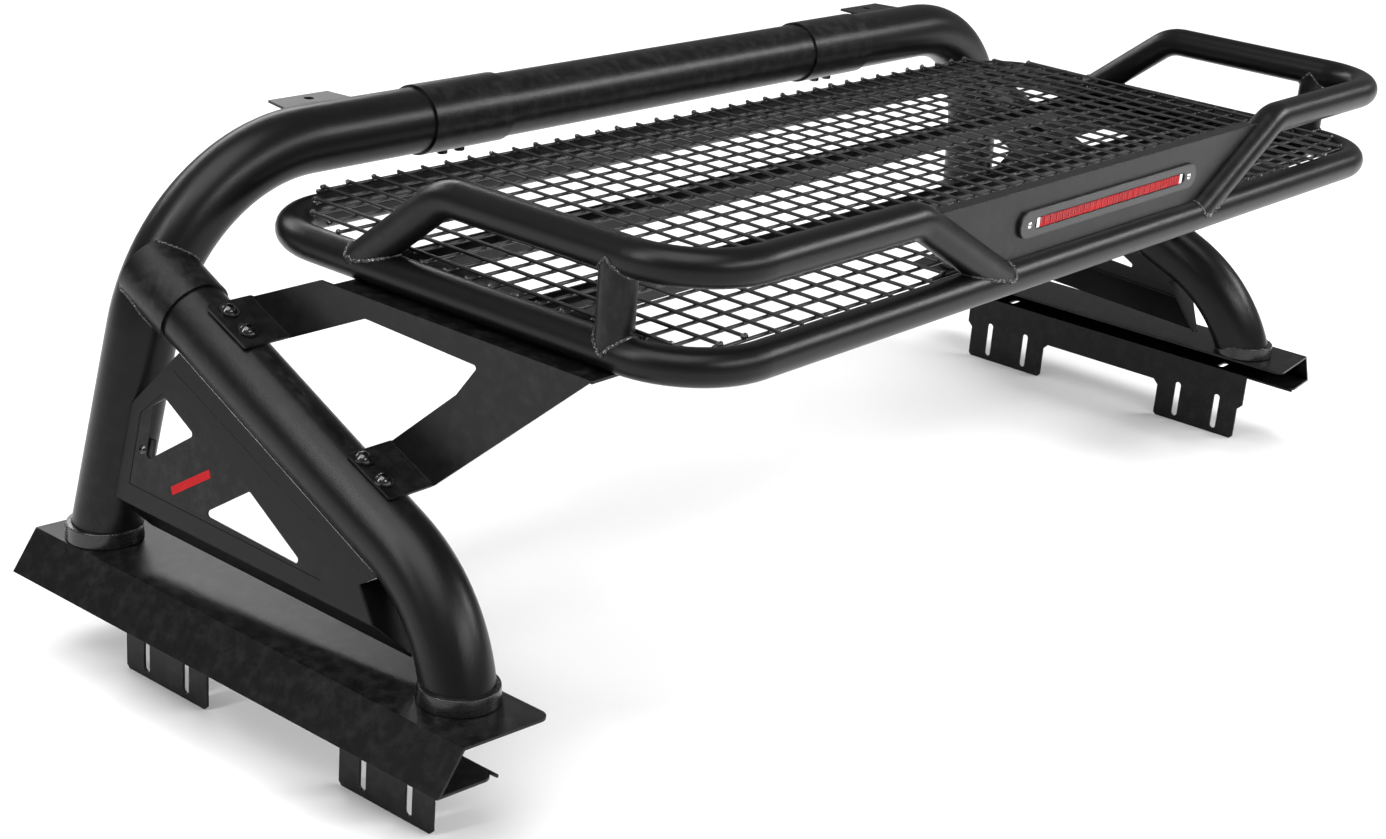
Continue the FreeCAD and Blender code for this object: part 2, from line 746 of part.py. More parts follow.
def bracket_tab(low, high):
    """A tab that lies on top of the brace and joins the web's inner face."""
    inner = D.sheet - D.web_side
    outer = -D.web_side - D.bracket_tab_width
    corners = []
    for distance, side in ((low, inner), (high, inner), (high, outer), (low, outer)):
        point = along_brace(distance, tab_lift)
        corners.append(Vector(side, point.y, point.z))
    return rounded_plate(corners, brace_up, D.sheet, 4)


def bracket():
    """One bent sheet: web, two tabs on the brace, flange under the basket."""
    shape = rounded_plate(bracket_web(), Vector(1, 0, 0), D.sheet, 3)
    for low, high in bracket_tabs:
        shape = shape.fuse(bracket_tab(low, high))
    flange = Part.makeBox(D.bracket_flange, D.bracket_fore + D.bracket_aft, D.sheet,
                          Vector(-D.web_side, -D.bracket_aft, web_top - D.sheet))
    corners = [e for e in flange.Edges if e.Length < D.sheet + 0.1
               and e.BoundBox.XMax > -D.web_side + 10]
    shape = shape.fuse(flange.makeFillet(12, corners)).removeSplitter()
    for place in bracket_bolt_places():
        shape = shape.cut(bar(D.tab_screw_hole / 2, along_brace(place), brace_up, 80))
    for fore in basket_bolt_rows():
        shape = shape.cut(travel_slot(fore))
    return formed("bracket", shape)


def basket_bolt_rows():
    return (float(D.middle_channel_fore), -float(D.rear_channel_aft))


def travel_slot(fore):
    """Slot that lets the bracket slide past a basket bolt as the width is set."""
    near = -D.basket_bolt_side - D.travel_in - 1
    far = -D.basket_bolt_side + D.travel_out + 1
    radius = D.bolt_hole / 2 + 0.5
    low = web_top - D.sheet - 2
    slot = Part.makeBox(far - near, radius * 2, D.sheet + 4, Vector(near, fore - radius, low))
    for side in (near, far):
        slot = slot.fuse(bar(radius, Vector(side, fore, low), Vector(0, 0, 1), D.sheet + 4))
    return slot


def bracket_screws():
    lift = tab_lift + D.sheet + D.washer_sheet
    return formed("bracket_screws", Part.makeCompound(
        [button_screw(along_brace(place, float(lift)), brace_up, 16, D.tab_screw_head / 2,
                      D.tab_screw_rise, D.tab_screw_dia / 2)
         for place in bracket_bolt_places()]))


def bracket_washers():
    lift = tab_lift + D.sheet
    rings = []
    for place in bracket_bolt_places():
        base = along_brace(place, float(lift))
        ring = bar(D.washer_dia / 2, base, brace_up, D.washer_sheet)
        rings.append(ring.cut(bar(D.tab_screw_dia / 2 + 0.2, base, brace_up, D.washer_sheet)))
    return formed("bracket_washers", Part.makeCompound(rings))


def basket_bolts():
    """Bolts that hang from the channels through the brackets' slots."""
    low = web_top - D.sheet - D.slide_gap
    bolts = [hex_bolt(Vector(-D.basket_bolt_side, fore, low), Vector(0, 0, 1), 16)
             for fore in basket_bolt_rows()]
    return pair_node(formed("basket_bolt_pair", Part.makeCompound(bolts)), "basket_bolts")


def basket_nuts():
    """Hex nuts inside the channels, on the basket bolts."""
    low = channel_floor + D.channel_sheet
    nuts = []
    for fore in basket_bolt_rows():
        base = Vector(-D.basket_bolt_side, fore, low)
        ring = [base + Vector(7 * math.cos(math.radians(a)), 7 * math.sin(math.radians(a)), 0)
                for a in range(0, 360, 60)]
        nut = Part.Face(Part.makePolygon(ring + ring[:1])).extrude(Vector(0, 0, 6.5))
        nuts.append(nut.cut(bar(D.bolt_dia / 2 + 0.05, base, Vector(0, 0, 1), 7)))
    return pair_node(formed("basket_nut_pair", Part.makeCompound(nuts)), "basket_nuts")


# ------------------------------------------------------------ the basket

def frame_loop(radius):
    """A solid round bar along the basket's closed rounded rectangle."""
    side, fore, aft = float(D.basket_side), float(D.basket_fore), -float(D.basket_aft)
    z, corner = float(D.basket_height), float(D.basket_corner)
    pieces = []
    for y in (fore, aft):
        start = Vector(corner - side, y, z)
        pieces.append(bar(radius, start, Vector(1, 0, 0), 2 * (side - corner)))
    for x in (-side, side):
        start = Vector(x, aft + corner, z)
        pieces.append(bar(radius, start, Vector(0, 1, 0), fore - aft - 2 * corner))
    for sign_x, sign_y, turn in ((1, 1, 0), (-1, 1, 90), (-1, -1, 180), (1, -1, 270)):
        quarter = Part.makeTorus(corner, radius, Vector(0, 0, 0), Vector(0, 0, 1), 0, 360, 90)
        quarter.rotate(Vector(0, 0, 0), Vector(0, 0, 1), turn)
        y = fore - corner if sign_y > 0 else aft + corner
        quarter.translate(Vector(sign_x * (side - corner), y, z))
        pieces.append(quarter)
    return pieces[0].multiFuse(pieces[1:]).removeSplitter()


frame_solid = frame_loop(rail_radius)


def basket_frame():
    return node(formed("frame_tube", frame_solid.cut(frame_loop(rail_radius - D.rail_wall))),
                "basket_frame")


def guard_points():
    side, aft = -D.basket_side, -D.basket_aft
    low, high = D.basket_height, D.guard_height
    return [Vector(side, D.guard_foot_fore, low), Vector(side, -D.guard_rise_aft, high),
            Vector(side, aft, high), Vector(-D.guard_drop_side, aft, high),
            Vector(-D.guard_foot_side, aft, low)]


guard_bends = [D.guard_bend, D.guard_corner, D.guard_bend]
guard_solid = swept_bar(guard_points(), guard_bends, rail_radius)


def guard_rail():
    """Raised rail over one side and rear corner, its feet coped on the frame."""
    tube = swept_tube(guard_points(), guard_bends, rail_radius, D.rail_wall)
    return formed("guard", tube.cut(frame_solid).cut(below(D.basket_height)))


def guard_posts():
    """Upright between frame and guard rail near each rear corner."""
    foot = Vector(-D.basket_side, -D.post_aft, D.basket_height)
    rise = D.guard_height - D.basket_height
    post = bar(rail_radius, foot, Vector(0, 0, 1), rise)
    post = post.cut(bar(rail_radius - D.rail_wall, foot, Vector(0, 0, 1), rise))
    post = post.cut(frame_solid).cut(guard_solid)
    return pair_node(formed("post", post), "guard_posts")


def near_upright(side, fore):
    """Whether a guard foot or post stands beside this point of the frame."""
    foot = float(D.guard_foot_fore) - 20
    beside = min(abs(fore - foot), abs(fore + float(D.post_aft))) < 52
    behind = 165 < abs(side) < 320
    return beside, behind


def wire(start, end):
    """A straight wire, coped where it rests on the frame."""
    rod = bar(D.wire_dia / 2, start, end - start, (end - start).Length).cut(frame_solid)
    return max(rod.Solids, key=lambda solid: solid.Volume)


def mesh_height(fore):
    """The long wires' height, which rises a little towards the front tube."""
    share = (fore + D.mesh_aft) / float(D.mesh_fore + D.mesh_aft)
    return D.mesh_rear_height + float(D.mesh_front_height - D.mesh_rear_height) * share


def long_wires():
    """Wires along X, lying on the frame; the two outermost close the mesh."""
    count = int(D.long_wires)
    step = (D.mesh_fore + D.mesh_aft) / (count - 1)
    wires = []
    for place in range(count):
        y = -float(D.mesh_aft) + place * float(step)
        z = mesh_height(y)
        front_loss = max(0.0, y - float(D.mesh_fore - D.mesh_front_cut))
        rear_loss = max(0.0, float(D.mesh_rear_cut - D.mesh_aft) - y)
        reach = float(D.mesh_side) - front_loss - rear_loss
        on_tube = D.basket_corner - D.basket_aft < y < D.basket_fore - D.basket_corner
        if on_tube and not near_upright(0, y)[0]:
            reach += D.wire_stub
        wires.append(wire(Vector(-reach, y, z), Vector(reach, y, z)))
    return node(formed("mesh_long", Part.makeCompound(wires)), "mesh_long_wires")


def cross_wires():
    """Wires along Y, welded on top of the long ones."""
    count = int(D.cross_wires)
    step = 2 * float(D.mesh_side) / (count - 1)
    rise = D.wire_dia + 0.02
    wires = []
    for place in range(count):
        x = -float(D.mesh_side) + place * step
        past = abs(x) - float(D.mesh_side)
        front = float(D.mesh_fore) - max(0.0, past + float(D.mesh_front_cut))
        rear = -float(D.mesh_aft) + max(0.0, past + float(D.mesh_rear_cut))
        if abs(x) < 600 and not near_upright(x, 0)[1]:
            rear -= 12
        wires.append(wire(Vector(x, rear, mesh_height(rear) + rise),
                          Vector(x, front, mesh_height(front) + rise)))
    return node(formed("mesh_cross", Part.makeCompound(wires)), "mesh_cross_wires")


def channel(name, fore):
    """Shallow U-section under the mesh, its ends coped on the side tubes."""
    half = D.channel_half
    rear = fore - D.channel_width / 2
    sheet = D.channel_sheet
    outer = box(name + "_block", (half * 2, D.channel_width, D.channel_height),
                (-half, rear, channel_floor))
    hollow = box(name + "_hollow", (half * 2 + 20, D.channel_width - sheet * 2, D.channel_height),
                 (-half - 10, rear + sheet, channel_floor + sheet))
    section = cut(name + "_section", outer, hollow)
    cutters = [formed(name + "_cope", frame_solid)]
    for side in (-D.basket_bolt_side, D.basket_bolt_side):
        cutters.append(cylinder(name + "_drill", D.bolt_hole / 2, D.channel_height / 2,
                                (side, fore, channel_floor - 5)))
    trimmed = cut(name + "_coped", section, joined(name + "_cutters", cutters))
    return node(trimmed, name)


# ----------------------------------------------------- brake light panel

def light_plate():
    """Sheet between the guards' inner feet, with a lip along its top."""
    aft = -D.basket_aft
    body = doc.addObject("PartDesign::Body", "light_plate_body")
    put(body, (0, aft, 0))
    face = sketch_on(body, "XZ_Plane", "light_plate_outline")
    low = D.basket_height + rail_radius - 2
    foot = D.guard_foot_side
    outline(face, [(-D.light_plate_half, D.light_plate_top), (-foot, low),
                   (foot, low), (D.light_plate_half, D.light_plate_top)])
    padded(body, face, "light_plate_pad", D.light_plate_sheet)
    doc.recompute()
    lip = sketch_on(body, "XZ_Plane", "light_lip_outline")
    edge = D.light_plate_top - D.light_plate_sheet
    inner = D.light_plate_half - 12
    outline(lip, [(-inner, D.light_plate_top), (-inner, edge), (inner, edge),
                  (inner, D.light_plate_top)])
    padded(body, lip, "light_lip_pad", D.light_plate_lip, reverse=True)
    doc.recompute()
    hole = facing_obround("light_opening", D.housing_length + 1, D.housing_width + 1,
                          aft - 10, Size(30))
    drills = [cylinder("light_drill", 2.2, 30, (side, aft - 15, D.light_height),
                       Vector(0, 1, 0)) for side in (-D.light_screw_half, D.light_screw_half)]
    twin = guard_solid.mirror(Vector(0, 0, 0), Vector(1, 0, 0))
    copes = [formed("light_cope_left", guard_solid), formed("light_cope_right", twin),
             formed("light_cope_frame", frame_solid)]
    return node(cut("light_plate_cut", body, joined("light_cutters", [hole] + drills + copes)),
                "light_panel")


def facing_obround(name, length, width, start, depth):
    """A rounded-end block facing the rear, centred on the light."""
    half = (length - width) / 2
    z = D.light_height
    rods = [cylinder(name + "_end", width / 2, depth, (side, start, z), Vector(0, 1, 0))
            for side in (-half, half)]
    block = box(name + "_block", (half * 2, depth, width), (-half, start, z - width / 2))
    return joined(name, rods + [block])


def light_bezel():
    """Rounded frame round the lens, drilled at both ends."""
    back = -D.basket_aft - D.light_plate_sheet
    rim = facing_obround("bezel_rim", D.bezel_length, D.bezel_width,
                         back - D.bezel_depth, D.bezel_depth)
    window = facing_obround("bezel_window", D.housing_length + 1, D.lens_width + 2,
                            back - 20, Size(40))
    drills = [cylinder("bezel_drill", 2.2, 30, (side, back - 15, D.light_height),
                       Vector(0, 1, 0)) for side in (-D.light_screw_half, D.light_screw_half)]
    return node(cut("bezel", rim, joined("bezel_cutters", [window] + drills)), "light_bezel")


def light_lens():
    """Red lens, ribbed up and down on its front, with a flange behind the bezel."""
    back = -D.basket_aft - D.light_plate_sheet
    start = back - D.lens_depth
    half = D.lens_length / 2
    slab = Part.makeBox(2 * half, D.lens_depth, D.lens_width,
                        Vector(-half, start, D.light_height - D.lens_width / 2))
    count = 48
    pitch = 2 * half / count
    grooves = [bar(0.7, Vector(-half + pitch * place, start, D.light_height - 20),
                   Vector(0, 0, 1), 40) for place in range(1, count)]
    front = formed("lens_front", slab.cut(Part.makeCompound(grooves)))
    flange = facing_obround("lens_flange", D.housing_length - 6, D.housing_width - 5,
                            back, Size(1.2))
    return node(joined("lens", [front, flange]), "light_lens")


def light_ends():
    """Bright reflector caps at both ends of the lens."""
    back = -D.basket_aft - D.light_plate_sheet
    inner = D.lens_length / 2 + 0.3
    reach = Size(6.5)
    cap = box("end_cap", (reach, D.bezel_depth - 1, D.lens_width),
              (-inner - reach, back - D.bezel_depth + 1, D.light_height - D.lens_width / 2))
    return pair_node(cap, "light_end_caps")


def light_housing():
    """Open tray behind the panel that holds the lamp board."""
    back = -D.basket_aft - D.light_plate_sheet
    shell = facing_obround("housing_shell", D.housing_length, D.housing_width,
                           back + 0.3, D.housing_depth)
    hollow = facing_obround("housing_hollow", D.housing_length - 4, D.housing_width - 4,
                            back - 5, D.housing_depth + 3)
    gland = cylinder("gland_drill", 4, 20, (Size(0), back + D.housing_depth / 2 + 1,
                                            D.light_height - 20))
    return node(cut("housing", shell, joined("housing_cutters", [hollow, gland])),
                "light_housing")


def light_board():
    """Strip of red lamps behind the lens."""
    back = -D.basket_aft - D.light_plate_sheet
    face = back + 6
    length = D.lens_length - 4
    board = Part.makeBox(length, 1.6, 12, Vector(-length / 2, face, D.light_height - 6))
    count = 36
    pitch = length / count
    chips = [Part.makeBox(3.5, 1.5, 3.5, Vector(-length / 2 + pitch * (place + 0.5) - 1.75,
                                                face - 1.5, D.light_height - 1.75))
             for place in range(count)]
    return node(formed("board", board.multiFuse(chips)), "light_board")


def light_screws():
    back = -D.basket_aft - D.light_plate_sheet - D.bezel_depth
    screw = button_screw(Vector(-D.light_screw_half, back, D.light_height),
                         Vector(0, -1, 0), 10, 4, 2, 2)
    return pair_node(formed("light_screw", Part.makeCompound([screw])), "light_screws")


def cable_gland():
    """Rubber gland under the lamp housing."""
    back = -D.basket_aft - D.light_plate_sheet
    centre = Vector(0, back + D.housing_depth / 2 + 1, D.light_height - D.housing_width / 2)
    neck = bar(3.9, centre - Vector(0, 0, 3), Vector(0, 0, 1), 6.5)
    collar = Part.makeCone(4.5, 6.5, 4, centre - Vector(0, 0, 4.3))
    bore = bar(2, centre - Vector(0, 0, 10), Vector(0, 0, 1), 20)
    return node(formed("gland", neck.fuse(collar).cut(bore)), "cable_gland")


# ------------------------------------------------------------- build all

centre_tube()
both_sides(sleeve(), "sleeve")
sleeve_bolts()
both_sides(hoop(), "hoop")
both_sides(hoop_collar(), "hoop_collar")
both_sides(lamp_tab(), "lamp_tab")
both_sides(brace(), "brace")
both_sides(base_rail(), "base_rail")
both_sides(foot_rings(), "foot_rings")
both_sides(side_panel(), "side_panel")
both_sides(panel_lug(), "panel_lug")
both_sides(panel_screw(), "panel_screw")
both_sides(bracket(), "basket_bracket")
both_sides(bracket_screws(), "bracket_screws")
both_sides(bracket_washers(), "bracket_washers")
basket_bolts()
basket_nuts()
basket_frame()
both_sides(guard_rail(), "guard_rail")
guard_posts()
long_wires()
cross_wires()
channel("middle_channel", D.middle_channel_fore)
channel("rear_channel", -D.rear_channel_aft)
light_plate()
light_bezel()
light_lens()
light_ends()
light_housing()
light_board()
light_screws()
cable_gland()
doc.recompute()

for obj in doc.Objects:
    if "Invalid" in obj.State or "Error" in obj.State:
        raise RuntimeError("{} did not recompute: {}".format(obj.Label, obj.State))

os.makedirs("parts", exist_ok=True)
for obj in nodes:
    if obj.Shape.isNull() or not obj.Shape.isValid() or not obj.Shape.Solids:
        raise RuntimeError("{} has no sound solid".format(obj.Label))
    obj.Shape.exportStep("parts/{}.step".format(obj.Label))
print(len(nodes), "sub-parts written")
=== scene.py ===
"""Looks of the truck-bed roll bar with its cargo basket, in metres, on the CAD frame."""
import json
import math
import random

import bpy
from mathutils import Matrix, Quaternion, Vector
from mathutils.bvhtree import BVHTree


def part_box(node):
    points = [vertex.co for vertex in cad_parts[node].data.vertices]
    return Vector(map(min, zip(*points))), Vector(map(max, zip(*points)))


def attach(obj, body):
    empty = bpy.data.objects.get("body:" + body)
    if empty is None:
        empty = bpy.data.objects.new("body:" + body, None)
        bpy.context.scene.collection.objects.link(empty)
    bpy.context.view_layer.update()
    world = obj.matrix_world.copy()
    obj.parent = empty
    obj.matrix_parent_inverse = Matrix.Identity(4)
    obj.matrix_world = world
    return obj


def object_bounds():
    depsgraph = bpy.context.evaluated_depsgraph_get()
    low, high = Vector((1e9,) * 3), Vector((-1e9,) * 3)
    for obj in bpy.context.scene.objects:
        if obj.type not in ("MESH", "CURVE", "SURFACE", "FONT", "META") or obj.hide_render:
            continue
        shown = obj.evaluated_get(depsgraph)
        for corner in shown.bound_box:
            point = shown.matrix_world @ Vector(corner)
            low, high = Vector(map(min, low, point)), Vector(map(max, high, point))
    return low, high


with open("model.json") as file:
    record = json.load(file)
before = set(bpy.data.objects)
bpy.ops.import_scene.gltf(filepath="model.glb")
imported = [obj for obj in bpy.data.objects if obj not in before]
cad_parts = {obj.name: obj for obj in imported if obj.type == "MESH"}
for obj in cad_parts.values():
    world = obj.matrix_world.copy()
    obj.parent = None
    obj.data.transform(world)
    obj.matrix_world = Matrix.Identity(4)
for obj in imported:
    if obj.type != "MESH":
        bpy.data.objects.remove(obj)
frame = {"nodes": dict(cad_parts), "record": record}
cad_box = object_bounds()
nodes = frame["nodes"]
bodies = frame["record"]["behaviour"]["bodies"]
body_of_node = {name: body for body, members in bodies.items() for name in members}
slot_of_node = {s["node"]: s["material_slot"] for s in frame["record"]["subparts"]}
random.seed(7)

MM = 0.001
BEAD_STEP = 1.2 * MM
BEAD_SIDES = 8
SMOOTHING_ROUNDS = 4
WELD_CELLS = 5000          # cells per metre of the grid that merges doubled weld points
WELD_REACH = 14 * MM       # farther apart than this, weld points belong to different beads
RING_BINS = 40             # directions round a weld, each with one point of the bead
AXIS_ROUNDS = 30           # enough for a cluster's main direction to settle
WIRE_CELL = 9 * MM         # under half the wires' pitch
WIRE_TIP = 2 * MM


# ------------------------------------------------------------- materials

class Shader:
    """A node tree round one Principled shader, with short calls for its parts."""

    def __init__(self, name):
        self.material = bpy.data.materials.new(name)
        self.material.use_nodes = True
        self.tree = self.material.node_tree
        self.tree.nodes.clear()
        self.output = self.add("ShaderNodeOutputMaterial")
        self.surface = self.add("ShaderNodeBsdfPrincipled")
        self.link(self.surface.outputs[0], self.output.inputs[0])
        self.place = self.add("ShaderNodeTexCoord").outputs["Object"]

    def add(self, kind):
        return self.tree.nodes.new(kind)

    def link(self, source, target):
        self.tree.links.new(source, target)

    def set(self, **values):
        for name, value in values.items():
            self.surface.inputs[name.replace("_", " ")].default_value = value

    def noise(self, scale, detail=2.0, rough=0.5, stretch=None):
        """Noise over object space, in features per metre."""
        noise = self.add("ShaderNodeTexNoise")
        noise.inputs["Scale"].default_value = scale
        noise.inputs["Detail"].default_value = detail
        noise.inputs["Roughness"].default_value = rough
        source = self.place
        if stretch:
            mapping = self.add("ShaderNodeMapping")
            mapping.inputs["Scale"].default_value = stretch
            self.link(self.place, mapping.inputs["Vector"])
            source = mapping.outputs[0]
        self.link(source, noise.inputs["Vector"])
        return noise.outputs["Fac"]

    def waves(self, scale):
        """Soft bands side by side across the rack."""
        wave = self.add("ShaderNodeTexWave")
        wave.inputs["Scale"].default_value = scale
        wave.inputs["Distortion"].default_value = 0.4
        self.link(self.place, wave.inputs["Vector"])
        return wave.outputs["Fac"]

    def ramp(self, source, low, high, start=0.0, end=1.0):
        """A value or colour that goes from low to high as source goes from start to end."""
        ramp = self.add("ShaderNodeValToRGB")
        for element, place, value in zip(ramp.color_ramp.elements, (start, end), (low, high)):
            element.position = place
            element.color = value if isinstance(value, tuple) else (value, value, value, 1)
        self.link(source, ramp.inputs[0])
        return ramp.outputs[0]

    def mix(self, share, first, second):
        mix = self.add("ShaderNodeMix")
        mix.data_type = "RGBA"
        self.link(share, mix.inputs[0])
        for value, socket in ((first, mix.inputs[6]), (second, mix.inputs[7])):
            if isinstance(value, tuple):
                socket.default_value = value
            else:
                self.link(value, socket)
        return mix.outputs[2]

    def math(self, operation, first, second=0.5):
        node = self.add("ShaderNodeMath")
        node.operation = operation
        for value, socket in ((first, node.inputs[0]), (second, node.inputs[1])):
            if isinstance(value, (int, float)):
                socket.default_value = value
            else:
                self.link(value, socket)
        return node.outputs[0]

    def bump(self, height, strength, distance, after=None):
        bump = self.add("ShaderNodeBump")
        bump.inputs["Strength"].default_value = strength
        bump.inputs["Distance"].default_value = distance
        self.link(height, bump.inputs["Height"])
        if after is not None:
            self.link(after, bump.inputs["Normal"])
        return bump.outputs[0]

    def soft_edges(self, radius):
        """Rounds the look of hard edges, so that they catch a thin line of light."""
        bevel = self.add("ShaderNodeBevel")
        bevel.samples = 4
        bevel.inputs["Radius"].default_value = radius
        return bevel.outputs[0]

    def to(self, source, name):
        self.link(source, self.surface.inputs[name])


def grey(value):
    """A very slightly cold grey."""
    return (value, value, value * 1.03, 1.0)


def powder_coat(name, edge=0.7 * MM):
    """Fine-textured satin black powder coat, a little lighter where edges are rubbed."""
    s = Shader(name)
    s.set(Specular_IOR_Level=0.2)
    dark, light, rubbed = grey(0.0028), grey(0.0036), grey(0.03)
    base = s.mix(s.noise(9, 3, 0.5), dark, light)
    worn = s.ramp(s.add("ShaderNodeNewGeometry").outputs["Pointiness"], 0.0, 1.0, 0.54, 0.64)
    patch = s.ramp(s.noise(60, 5, 0.7), 0.0, 0.5, 0.45, 0.7)
    base = s.mix(s.math("MULTIPLY", worn, patch), base, rubbed)
    rough = s.ramp(s.noise(35, 4, 0.6), 0.305, 0.33, 0.3, 0.7)
    s.to(base, "Base Color")
    s.to(rough, "Roughness")
    orange_peel = s.bump(s.noise(420, 2, 0.5), 0.3, 0.0003, s.soft_edges(edge))
    s.to(s.bump(s.noise(1900, 2, 0.6), 0.3, 0.0002, orange_peel), "Normal")
    return s


def gloss_coat(name):
    """Smooth gloss black with scuffs, as on the foot rings."""
    s = Shader(name)
    s.set(Specular_IOR_Level=0.35, Coat_Weight=0.25, Coat_Roughness=0.12)
    s.to(s.mix(s.noise(90, 5, 0.7), grey(0.004), grey(0.01)), "Base Color")
    scuffs = s.noise(120, 6, 0.75, (1, 1, 6))
    s.to(s.ramp(scuffs, 0.16, 0.4, 0.35, 0.7), "Roughness")
    s.to(s.bump(scuffs, 0.12, 0.0003, s.soft_edges(1.5 * MM)), "Normal")
    return s


def black_oxide(name):
    """Semi-gloss black fasteners."""
    s = Shader(name)
    s.set(Metallic=0.2, Specular_IOR_Level=0.6, Coat_Weight=0.5, Coat_Roughness=0.06)
    s.to(s.mix(s.noise(300, 4, 0.6), grey(0.004), grey(0.012)), "Base Color")
    s.to(s.ramp(s.noise(700, 3, 0.6), 0.14, 0.26), "Roughness")
    s.to(s.bump(s.noise(1500, 2), 0.15, 0.0001), "Normal")
    return s


def wire_coat(name):
    """Dip-coated mesh wire, a little glossier than the tubes."""
    s = Shader(name)
    s.set(Specular_IOR_Level=0.45)
    s.to(s.mix(s.noise(25, 3), grey(0.008), grey(0.018)), "Base Color")
    s.to(s.ramp(s.noise(160, 4, 0.6), 0.3, 0.5, 0.3, 0.7), "Roughness")
    s.to(s.bump(s.noise(500, 3, 0.6), 0.5, 0.0004), "Normal")
    return s


def red_lens(name):
    """Clear red plastic, ribbed up and down, over a row of lamps, with painted light in its
    colour: brighter patches of painted light from behind the lens, and painted highlights on the
    rib crests.
    """
    s = Shader(name)
    s.set(Transmission_Weight=0.1, IOR=1.49, Specular_IOR_Level=0.15)
    ribs = s.waves(75)
    # painted light: the lamp colour stands in for light coming back out through the lens from
    # behind, and the crest colour is a painted highlight on the ribs
    unlit, lamp, painted_rib_highlight = (0.12, 0.0004, 0.0012, 1), (0.28, 0.001, 0.003, 1), (0.75, 0.012, 0.02, 1)
    red_with_painted_light = s.mix(s.noise(150, 1, 0.4, (1, 0.1, 0.1)), unlit, lamp)
    # painted highlight: lighter red on the crests of the ribs
    s.to(s.mix(s.ramp(ribs, 0.0, 1.0, 0.35, 0.95), red_with_painted_light, painted_rib_highlight), "Base Color")
    s.to(s.ramp(s.noise(400, 3), 0.1, 0.24), "Roughness")
    s.to(s.bump(ribs, 0.6, 0.0008, s.soft_edges(1.2 * MM)), "Normal")
    return s


def bright_metal(name, tint=0.75):
    """Bright plated metal with fine scratches."""
    s = Shader(name)
    s.set(Metallic=1.0)
    s.to(s.mix(s.noise(200, 3), grey(tint * 0.85), grey(tint)), "Base Color")
    s.to(s.ramp(s.noise(900, 4, 0.7, (1, 1, 5)), 0.12, 0.35), "Roughness")
    s.to(s.bump(s.noise(1400, 3), 0.2, 0.0001), "Normal")
    return s


def plastic(name, tone=0.016, rough=(0.34, 0.5), colour=None, edge=0.5 * MM):
    """Moulded plastic with a fine spark-eroded grain."""
    s = Shader(name)
    s.set(Specular_IOR_Level=0.45)
    dark = colour or grey(tone * 0.8)
    light = tuple(min(1.0, c * 1.3) for c in dark[:3]) + (1.0,)
    s.to(s.mix(s.noise(80, 3), dark, light), "Base Color")
    s.to(s.ramp(s.noise(500, 3, 0.6), rough[0], rough[1], 0.3, 0.7), "Roughness")
    s.to(s.bump(s.noise(2600, 2), 0.3, 0.0001, s.soft_edges(edge)), "Normal")
    return s


def weld_coat(name):
    """Painted weld bead with small bare, silvery specks."""
    s = Shader(name)
    specks = s.ramp(s.noise(420, 4, 0.75), 0.0, 1.0, 0.57, 0.64)
    s.to(s.mix(specks, grey(0.012), grey(0.55)), "Base Color")
    s.to(specks, "Metallic")
    s.to(s.ramp(s.noise(300, 3), 0.25, 0.5), "Roughness")
    s.to(s.bump(s.noise(700, 4, 0.7), 0.7, 0.0006), "Normal")
    return s


def decal_red(name):
    """Slightly glossy red vinyl of the plain accent."""
    s = Shader(name)
    s.set(Specular_IOR_Level=0.15)
    dark, light = (0.3, 0.002, 0.004, 1), (0.42, 0.004, 0.008, 1)
    s.to(s.mix(s.noise(150, 4), dark, light), "Base Color")
    s.to(s.ramp(s.noise(700, 3), 0.3, 0.45), "Roughness")
    return s


shaders = {
    "black_powder_coat": powder_coat("black_powder_coat"),
    "light_panel": powder_coat("light_panel_coat", edge=1.8 * MM),
    "black_gloss_coat": gloss_coat("black_gloss_coat"),
    "black_fastener": black_oxide("black_fastener"),
    "mesh_coat": wire_coat("mesh_coat"),
    "bezel_plastic": plastic("bezel_plastic", rough=(0.26, 0.38), edge=3.0 * MM),
    "red_lens": red_lens("red_lens"),
    "reflector_chrome": bright_metal("reflector_chrome", 0.85),
    "housing_plastic": plastic("housing_plastic", 0.03, (0.5, 0.7)),
    "lamp_board": plastic("lamp_board", colour=(0.4, 0.03, 0.03, 1)),
    "bright_screw": bright_metal("bright_screw"),
    "gland_rubber": plastic("gland_rubber", 0.02, (0.6, 0.8)),
}
weld_shader = weld_coat("weld_coat")
decal_shader = decal_red("decal_red")

for name, obj in nodes.items():
    look = name if name in shaders else slot_of_node[name]
    obj.data.materials.clear()
    obj.data.materials.append(shaders[look].material)


# ------------------------------------------------------------ piece tools

def new_piece(name, verts, faces, shader, body, smooth=True):
    """A mesh piece in the row frame that rides on a body."""
    mesh = bpy.data.meshes.new(name)
    mesh.from_pydata(verts, [], faces)
    mesh.validate()
    mesh.update()
    mesh.polygons.foreach_set("use_smooth", [smooth] * len(mesh.polygons))
    mesh.materials.append(shader.material)
    obj = bpy.data.objects.new(name, mesh)
    bpy.context.scene.collection.objects.link(obj)
    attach(obj, body)
    return obj


def surface_of(name):
    """A search tree over a CAD node's surface."""
    mesh = nodes[name].data
    return BVHTree.FromPolygons([v.co for v in mesh.vertices],
                                [tuple(p.vertices) for p in mesh.polygons])


def groups(points, reach):
    """Splits points into clusters whose members lie within reach of each other."""
    left = list(points)
    while left:
        cluster = [left.pop()]
        for member in cluster:
            near = [p for p in left if (p - member).length < reach]
            cluster.extend(near)
            left = [p for p in left if (p - member).length >= reach]
        yield cluster


def main_direction(spread, start):
    """The direction in which a spread matrix stretches most."""
    direction = Vector(start)
    for _ in range(AXIS_ROUNDS):
        direction = (spread @ direction).normalized()
    return direction


